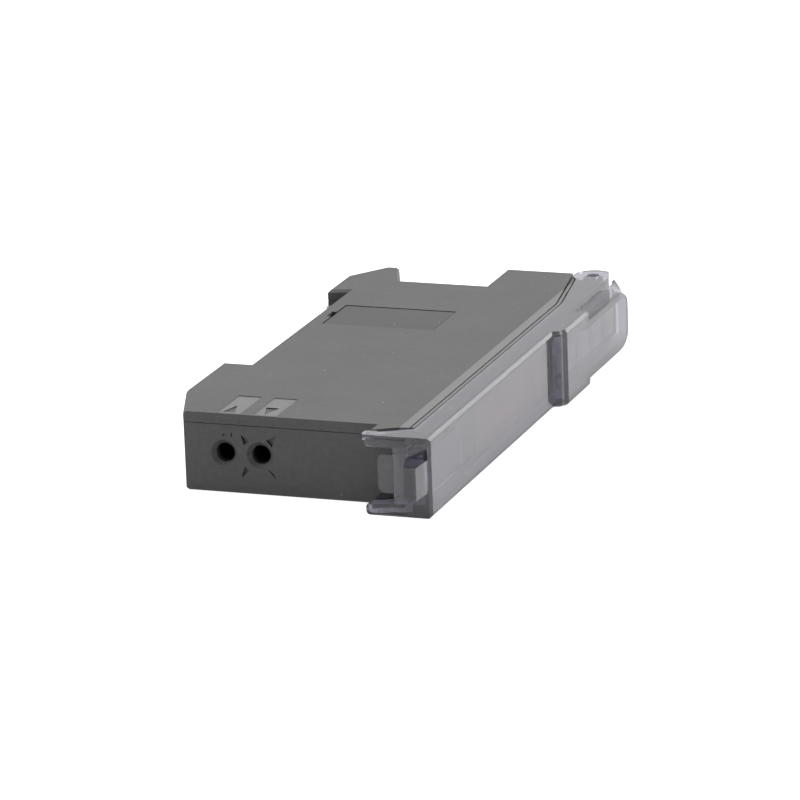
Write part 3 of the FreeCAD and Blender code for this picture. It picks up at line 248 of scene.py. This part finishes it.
case_abs = case_plastic("abs_moulded_grey", ABS_GREY, ABS_ROUGH)[0]
lid_abs = case_plastic("abs_moulded_grey_lid", LID_GREY, LID_ROUGH)[0]
print("Case plastics:", case_abs.name, lid_abs.name)

# %% [markdown]
# Parts of the side plate were left smooth by the tool: the two recessed marks over the fibre
# holes and the long rim beside the cover. There the plastic is glossier, and a paler grey is
# painted on as sheen, standing in for the light that these smooth places catch. The marks lie
# 0.08 mm under the broad side, and the triangles in them lie deeper and keep the pitted skin.
# The plate is one moulding, so it isn't cut up for this. Its material finds these places by
# where they are on the drawing, in a box for each, and mixes in the lower roughness and the
# painted sheen there.

# %% Smooth places on the side plate, with painted sheen
MARKS = (spot(4.2, 0.2, 9.88), spot(12.1, 7.7, 9.95))
RIM = (spot(27.95, -3.0, 8.9), spot(30.0, 66.0, 9.999))
# The paler grey of the smooth places is painted sheen, not a colour of the plastic.
SHEEN_PAINTED_GREY = "6c6c6c"
SMOOTH_ROUGH = 0.42


def inside(made, axes, low, high):
    """1 inside the box between two corners, 0 outside it."""
    mask = None
    for axis, least, most in zip(axes, low, high):
        for test, limit in (("GREATER_THAN", least), ("LESS_THAN", most)):
            side = add(made, "Math", {"operation": test, 1: limit}, {0: axis})
            if mask:
                side = add(made, "Math", {"operation": "MULTIPLY"},
                           {0: mask.outputs[0], 1: side.outputs[0]})
            mask = side
    return mask.outputs[0]


plate_abs, plate_place, plate_tint = case_plastic("abs_moulded_grey_marked_painted_sheen", ABS_GREY, ABS_ROUGH)
axes = add(plate_abs, "SeparateXYZ", links={0: plate_place}).outputs
# This mask lowers the roughness, which is real, and also places the painted sheen.
smooth_sheen_mask = add(plate_abs, "Math", {"operation": "MAXIMUM"},
             {0: inside(plate_abs, axes, *MARKS), 1: inside(plate_abs, axes, *RIM)}).outputs[0]
# Painted sheen: the paler grey is mixed into the colour where the plate is smooth.
painted_sheen_mix = add(plate_abs, "Mix", {"data_type": "RGBA", 7: linear(SHEEN_PAINTED_GREY)},
             {0: smooth_sheen_mask, 6: plate_tint})
feed(plate_abs, "Base Color", painted_sheen_mix.outputs[2])
gloss = add(plate_abs, "MapRange", {3: ABS_ROUGH, 4: SMOOTH_ROUGH}, {0: smooth_sheen_mask})
feed(plate_abs, "Roughness", gloss.outputs[0])
print("Smooth marks and a smooth rim", round((RIM[1] - RIM[0]).y * 1000), "mm long")

# %% [markdown]
# The hinged cover is moulded polycarbonate with a smoke dye all through, and polished. A tinted
# surface would be as dark on a thin wall as on a thick one. The real dye takes light by the
# millimetre, so the thin walls stay clear and the thick arms and blocks turn dark and a little
# blue. That is an absorbing volume inside a clear surface with polycarbonate's IOR of 1.585. The
# resin also scatters a little, which lays an even grey veil over what lies behind, and the
# polish is a little duller in some places than in others.

# %% Smoke polycarbonate for the cover
SMOKE_PER_MM = 0.6
VEIL = 0.075
FLOW_MM = 7.0
HAZE = (0.03, 0.07)

smoke = finish("polycarbonate_smoke_polished", "d1ced8", HAZE[1], ior=1.585)
smoke_shader = smoke.node_tree.nodes["Principled BSDF"]
smoke_shader.inputs["Transmission Weight"].default_value = 1.0 - VEIL
smoke_place = add(smoke, "TexCoord").outputs["Object"]
flow = add(smoke, "TexNoise", {"Scale": per_mm(FLOW_MM), "Detail": 1.0}, {"Vector": smoke_place})
haze = add(smoke, "MapRange", {3: HAZE[0], 4: HAZE[1]}, {0: flow.outputs["Fac"]})
feed(smoke, "Roughness", haze.outputs[0])
dye = add(smoke, "VolumeAbsorption",
          {"Color": linear("6a6a88"), "Density": SMOKE_PER_MM * 1000})
smoke_end = smoke.node_tree.nodes["Material Output"]
smoke.node_tree.links.new(dye.outputs[0], smoke_end.inputs["Volume"])
print("Smoke dye of", SMOKE_PER_MM, "a millimetre and a veil of", VEIL)

# %% [markdown]
# The parts under the cover and in the case are moulded in other plastics: a black panel, pale
# grey button caps, a mid grey lever, black connectors and chips. The displays are potted in grey
# epoxy, and the bars of their digits are a pale resin that spreads light. They share the case's
# pits and uneven tone, each with its own colour, gloss and depth, and have no dust on them,
# because the cover and the case keep it off.

# %% Other moulded plastics


def clean_plastic(name, colour, roughness, pit_um):
    """A moulding with pits and an uneven tone."""
    made = finish(name, colour, roughness, ior=1.53)
    place = add(made, "TexCoord").outputs["Object"]
    pitted(made, place, pit_um)
    feed(made, "Base Color", uneven_tone(made, place, colour))
    return made


panel_black = clean_plastic("abs_moulded_black", "17171a", 0.45, pit_um=2)
lever_grey = clean_plastic("acetal_moulded_grey", "626164", 0.42, pit_um=8)
key_grey = clean_plastic("abs_moulded_pale", "96999b", 0.38, pit_um=6)
connector_black = clean_plastic("nylon_moulded_black", "1c1c1c", 0.5, pit_um=10)
chip_epoxy = clean_plastic("epoxy_moulded_black", "202022", 0.55, pit_um=10)
display_face = clean_plastic("epoxy_potted_grey", "4a4b4d", 0.35, pit_um=4)
digit_resin = clean_plastic("resin_diffuser_pale", "b9b2ae", 0.4, pit_um=4)
print("Plastics under the cover:", panel_black.name, lever_grey.name, key_grey.name)

# %% [markdown]
# The display window is a polished acrylic sheet with a red dye, which lets the light of red
# digits through. It is drawn paler than a real one, so that the unlit digits can be made out
# behind it and the cover. The indicator lens, its lamps, the diode and the emitter are clear
# moulded epoxy. Both transmit, with acrylic's IOR of 1.49 and epoxy's 1.55, and a faint cloud
# in their gloss keeps them from looking like air.

# %% Clear and dyed resins
RESIN_CLOUD_MM = 1.5


def clear_resin(name, colour, ior, rough_low, rough_high, clear=1.0):
    """A see-through resin whose gloss wanders between two roughnesses."""
    made = finish(name, colour, rough_low, ior=ior)
    made.node_tree.nodes["Principled BSDF"].inputs["Transmission Weight"].default_value = clear
    place = add(made, "TexCoord").outputs["Object"]
    cloud = add(made, "TexNoise", {"Scale": per_mm(RESIN_CLOUD_MM), "Detail": 2.0}, {"Vector": place})
    spread = add(made, "MapRange", {3: rough_low, 4: rough_high}, {0: cloud.outputs["Fac"]})
    feed(made, "Roughness", spread.outputs[0])
    return made


window_acrylic = clear_resin("acrylic_dyed_red", "f0807a", 1.49, 0.03, 0.08, clear=0.85)
lens_resin = clear_resin("epoxy_moulded_clear", "e6e8ea", 1.55, 0.08, 0.2)
print("Resins:", window_acrylic.name, lens_resin.name)

# %% [markdown]
# The rail spring, the clamp's coil and the lever's pin are bright steel. Rolling and drawing
# leave fine lines in a metal, which smear its shine across them. A real line is a few hundredths
# of a millimetre wide and is drawn about 0.1 mm wide, so that it shows at all. A noise texture
# that is stretched twelve times along the case gives the lines and drives the roughness. The
# spring's leaf stands across the case, so its face shows them end on, as a fine grain. The
# shield can is tinned sheet, cloudy instead of lined, and its noise isn't stretched. The
# contacts are brass with a gold flash. Metals keep the default IOR and take their look from
# colour and roughness.

# %% Steel and brass
LINE_UM = 3
LINE_STRENGTH = 0.3


def rolled_metal(name, colour, rough_low, rough_high, line_mm=0.12, stretch=12.0):
    """A metal with fine lines along the case, as rolling or drawing leaves them."""
    made = finish(name, colour, rough_low, metallic=1.0)
    place = add(made, "TexCoord").outputs["Object"]
    drawn = add(made, "Mapping", {"Scale": (1.0, 1.0 / stretch, 1.0)}, {"Vector": place})
    lines = add(made, "TexNoise", {"Scale": per_mm(line_mm), "Detail": 2.0},
                {"Vector": drawn.outputs[0]})
    spread = add(made, "MapRange", {3: rough_low, 4: rough_high}, {0: lines.outputs["Fac"]})
    feed(made, "Roughness", spread.outputs[0])
    bump = add(made, "Bump", {"Strength": LINE_STRENGTH, "Distance": LINE_UM / 1e6},
               {"Height": lines.outputs["Fac"]})
    feed(made, "Normal", bump.outputs["Normal"])
    return made


spring_steel = rolled_metal("steel_spring_rolled", "c9c8c4", 0.22, 0.4)
pin_steel = rolled_metal("steel_pin_ground", "cbcac6", 0.15, 0.3, line_mm=0.08)
tinned_steel = rolled_metal("steel_sheet_tinned", "d2d2ce", 0.3, 0.5, stretch=1.0)
contact_brass = rolled_metal("brass_gold_flashed", "d9b264", 0.18, 0.32)
print("Metals:", spring_steel.name, tinned_steel.name, contact_brass.name)

# %% [markdown]
# The boards are glass epoxy under green solder mask. Copper tracks show through the mask as
# slightly raised, paler lines. They could be drawn as meshes, but the boards are deep inside
# the case. A brick texture with long bricks gives tracks that run the same way with gaps
# between, and its mortar is the bare laminate.

# %% Board laminate
TRACK_MM = 0.6
ROW_HIGH = 0.12
TRACK_UM = 30

board_green = finish("laminate_solder_mask_green", "0f4a2a", 0.32, ior=1.5)
board_place = add(board_green, "TexCoord").outputs["Object"]
tracks = add(
    board_green, "TexBrick",
    {"Color1": linear("17603a"), "Color2": linear("145534"), "Mortar": linear("0c3f24"),
     "Scale": per_mm(TRACK_MM) * ROW_HIGH, "Mortar Size": 0.012, "Brick Width": 2.4,
     "Row Height": ROW_HIGH},
    {"Vector": board_place})
feed(board_green, "Base Color", tracks.outputs["Color"])
raised = add(board_green, "Bump", {"Strength": 0.4, "Distance": TRACK_UM / 1e6, "invert": True},
             {"Height": tracks.outputs["Fac"]})
feed(board_green, "Normal", raised.outputs["Normal"])
print("Tracks are", TRACK_MM, "mm apart")

# %% [markdown]
# Now each CAD solid gets its finish. The solids keep their shape and place: only the material
# slot of each mesh is filled. A table of finish to solids is easier to read and to change than
# forty lines of assignment.

# %% Dress the CAD solids
DRESS = {
    case_abs: ("case_body",),
    lid_abs: ("port_cover_top", "port_cover_bottom"),
    plate_abs: ("side_plate",),
    smoke: ("protective_cover",),
    lever_grey: ("lock_lever", "fibre_clamp"),
    panel_black: ("operating_panel", "optic_block"),
    key_grey: ("tune_button", "mode_button", "up_button", "down_button"),
    window_acrylic: ("display_window",),
    lens_resin: ("indicator_lens", "indicator_lamps", "receiver_diode", "emitter_led"),
    display_face: ("level_display", "threshold_display"),
    connector_black: ("tune_switch", "mode_switch", "up_switch", "down_switch", "board_header",
                      "link_connector", "power_socket"),
    chip_epoxy: ("controller_chip", "analogue_chip", "supply_capacitor", "inductor"),
    spring_steel: ("rail_spring", "clamp_spring"),
    pin_steel: ("lever_pin",),
    tinned_steel: ("shield_can",),
    contact_brass: ("link_contacts", "power_pins"),
    board_green: ("main_board", "display_board"),
}

dressed = 0
for made, names in DRESS.items():
    for name in names:
        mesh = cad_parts[name].data
        mesh.materials.clear()
        mesh.materials.append(made)
        dressed += 1
print(dressed, "of", len(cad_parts), "solids dressed")

# %% [markdown]
# Small things that only the picture needs are made here as meshes. Each is turned into a named
# piece that rides on the body that it belongs to, so that it moves with it.

# %% A helper for added pieces


def new_piece(name, form, material, body):
    """Turn a bmesh into a named piece that rides on a body."""
    mesh = bpy.data.meshes.new(name)
    bmesh.ops.recalc_face_normals(form, faces=form.faces)
    form.to_mesh(mesh)
    form.free()
    mesh.materials.append(material)
    piece = bpy.data.objects.new(name, mesh)
    bpy.context.scene.collection.objects.link(piece)
    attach(piece, body)
    return piece


print("Pieces ride on the bodies of the CAD model")

# %% [markdown]
# Seven bars make each digit of a display. They are pale diffusers, cast into the grey display
# body and level with it, and unlit they look dull through the red window. A material could
# paint them, but as meshes they keep sharp corners from any distance. A bar runs between two of
# the six points of a digit, its corners and the middles of its sides, which are given here for
# a digit one wide and one tall. It has six corners of its own, so that its ends are pointed,
# and it stops a little short of its neighbours.

# %% The outline of a bar
BAR_HALF = 0.17
BAR_GAP = 0.06
BARS = [
    ((0, 1), (1, 1)), ((0, 0.5), (1, 0.5)), ((0, 0), (1, 0)),
    ((0, 0.5), (0, 1)), ((1, 0.5), (1, 1)), ((0, 0), (0, 0.5)), ((1, 0), (1, 0.5)),
]


def bar_outline(start, end):
    """Six corners of a bar with pointed ends, on the display's flat face."""
    along = (end - start).normalized()
    across = Vector((-along.y, along.x))
    first = start + along * BAR_GAP
    last = end - along * BAR_GAP
    return [
        first, first + (along + across) * BAR_HALF, last + (across - along) * BAR_HALF,
        last, last - (across + along) * BAR_HALF, first + (along - across) * BAR_HALF,
    ]


print("A digit has", len(BARS), "bars,", BAR_HALF * 2, "mm wide")

# %% [markdown]
# Each outline is made into a thin plate with a bmesh: a lower and an upper face, and a wall
# along each edge. Solidify would thicken a flat face as well, but the plates are so few and
# plain that six corners twice are quicker to write down.

# %% A plate over an outline


def add_plate(form, corners, low, high):
    """A thin closed plate over an outline of (y, z) places, from low to high along x."""
    lower = [form.verts.new((low, y, z)) for y, z in corners]
    upper = [form.verts.new((high, y, z)) for y, z in corners]
    form.faces.new(lower)
    form.faces.new(upper)
    for n in range(len(corners)):
        m = (n + 1) % len(corners)
        form.faces.new((lower[n], lower[m], upper[m], upper[n]))


print("A plate has a lower and an upper face and a wall along each edge")

# %% [markdown]
# The two displays have four digits each, spread evenly about the middle. The bars are sunk into
# the body and stand a hair proud of it, because two faces in one plane would flicker.

# %% The digits of both displays
DIGITS = 4
DIGIT_PITCH = 2.75
DIGIT_WIDE = 1.35
DIGIT_TALL = 3.0
BAR_SUNK = 0.05
BAR_PROUD = 0.02


def digits_on(node):
    """All the bars of one display, as thin plates in its face."""
    low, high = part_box(node)
    centre = (low + high) / 2
    form = bmesh.new()
    for digit in range(DIGITS):
        middle = centre.y + (digit - (DIGITS - 1) / 2) * DIGIT_PITCH / 1000
        for bar in BARS:
            start, end = [Vector(((y - 0.5) * DIGIT_WIDE, (z - 0.5) * DIGIT_TALL)) for y, z in bar]
            corners = [(middle + c.x / 1000, centre.z + c.y / 1000) for c in bar_outline(start, end)]
            add_plate(form, corners, high.x - BAR_SUNK / 1000, high.x + BAR_PROUD / 1000)
    return form


for node, name in (("level_display", "level_digits"), ("threshold_display", "threshold_digits")):
    piece = new_piece(name, digits_on(node), digit_resin, "housing")
    print(name, "has", len(piece.data.polygons), "faces")

# %% [markdown]
# The floor is one white sheet, so it throws light back up at the object. The picture wants a
# plain white ground, so where the camera sees the floor, the Light Path node adds enough glow
# to make it white. Nearly half of that glow shows in reflections and through the smoke cover,
# so the polished outer face of the cover mirrors a pale ground, as it does in the photograph.
# The sheet lies 0.02 mm under the part, because two faces in one plane would flicker.

# %% Floor
FLOOR_SIZE = 6.0
FLOOR_DROP = 0.00002
FLOOR_GLOW = 0.85
MIRROR_GLOW = 0.38

floor_form = bmesh.new()
bmesh.ops.create_grid(floor_form, x_segments=1, y_segments=1, size=FLOOR_SIZE / 2)
floor_mesh = bpy.data.meshes.new("floor")
floor_form.to_mesh(floor_mesh)
floor_form.free()
floor = bpy.data.objects.new("floor", floor_mesh)
floor.location.z = -FLOOR_DROP
bpy.context.scene.collection.objects.link(floor)
print("Floor of", FLOOR_SIZE, "m")

# %% White paper for the floor
paper = finish("paper_white_matt", "e2e2e2", 0.9)
paper_shader = paper.node_tree.nodes["Principled BSDF"]
paper_shader.inputs["Specular IOR Level"].default_value = 0.0
paper_shader.inputs["Emission Color"].default_value = linear("ffffff")
rays = add(paper, "LightPath").outputs
indirect = add(paper, "Math", {"operation": "MAXIMUM"},
               {0: rays["Is Glossy Ray"], 1: rays["Is Transmission Ray"]})
mirrored_glow = add(paper, "Math", {"operation": "MULTIPLY", 1: MIRROR_GLOW},
                    {0: indirect.outputs[0]})
glow = add(paper, "Mix", {"data_type": "FLOAT", 3: FLOOR_GLOW},
           {0: rays["Is Camera Ray"], 2: mirrored_glow.outputs[0]})
feed(paper, "Emission Strength", glow.outputs[0])
floor_mesh.materials.append(paper)
print("Paper glows by", FLOOR_GLOW, "to the camera and", MIRROR_GLOW, "in mirrors")

# %% [markdown]
# The light is a plain soft studio. The room is white ahead of the camera and darker behind it,
# as a real studio is, so the broad side and the cover mirror pale walls, and the end face that
# looks towards the camera stays dark. A picture of a real room could do this, but the rule here
# is short: a ray that comes off a glossy face gets the level of the side it looks to, along y.
# What the camera sees past the floor, also through the cover, is white.

# %% Room light
ROOM_LEVEL = 0.23
ROOM_AHEAD = 1.0
ROOM_BEHIND = 0.15
BEHIND_UP_TO = -1.0
AHEAD_FROM = -0.2

world = bpy.data.worlds.new("studio")
bpy.context.scene.world = world
world.use_nodes = True
background = world.node_tree.nodes["Background"]
background.inputs["Color"].default_value = linear("ffffff")
path = add(world, "LightPath").outputs
direction = add(world, "TexCoord").outputs["Generated"]
ahead = add(world, "SeparateXYZ", links={0: direction}).outputs["Y"]
mirrored = add(world, "MapRange",
               {1: BEHIND_UP_TO, 2: AHEAD_FROM, 3: ROOM_BEHIND, 4: ROOM_AHEAD}, {0: ahead})
direct = add(world, "Math", {"operation": "MAXIMUM"},
             {0: path["Is Camera Ray"], 1: path["Is Transmission Ray"]})
base = add(world, "Mix", {"data_type": "FLOAT", 2: ROOM_LEVEL},
           {0: path["Is Glossy Ray"], 3: mirrored.outputs[0]})
level = add(world, "Mix", {"data_type": "FLOAT", 3: ROOM_AHEAD},
            {0: direct.outputs[0], 2: base.outputs[0]})
world.node_tree.links.new(level.outputs[0], background.inputs["Strength"])
print("Room light", ROOM_LEVEL, "and white at", ROOM_AHEAD)

# %% [markdown]
# Four square lamps are added to the room. A wide one hangs over and behind the object. A small
# one stands close by on the left, so the end face darkens towards the right. One on the right
# shines on the outer face of the cover and through it. The last one stands far behind, where
# the bevelled rim of the cover mirrors it towards the camera as a thin bright line. Each has a
# place and a width in metres and a power in watts.

# %% Lamps


def soft_lamp(name, place, size, watts):
    """A square lamp that looks at the middle of the part."""
    data = bpy.data.lights.new(name, "AREA")
    data.shape = "SQUARE"
    data.size = size
    data.energy = watts
    lamp = bpy.data.objects.new(name, data)
    lamp.location = place
    lamp.rotation_euler = (-Vector(place)).to_track_quat("-Z", "Y").to_euler()
    bpy.context.scene.collection.objects.link(lamp)
    return lamp


soft_lamp("overhead_lamp", (-0.05, 0.2, 0.75), 0.8, 4.5)
soft_lamp("left_lamp", (-0.12, -0.12, 0.05), 0.08, 0.06)
soft_lamp("right_lamp", (0.4, 0.05, 0.1), 0.2, 1.9)
soft_lamp("rim_lamp", (0.25, 0.72, 0.28), 0.3, 0.55)
bpy.context.scene.view_settings.view_transform = "Standard"
print("Four lamps and a room light of", ROOM_LEVEL)
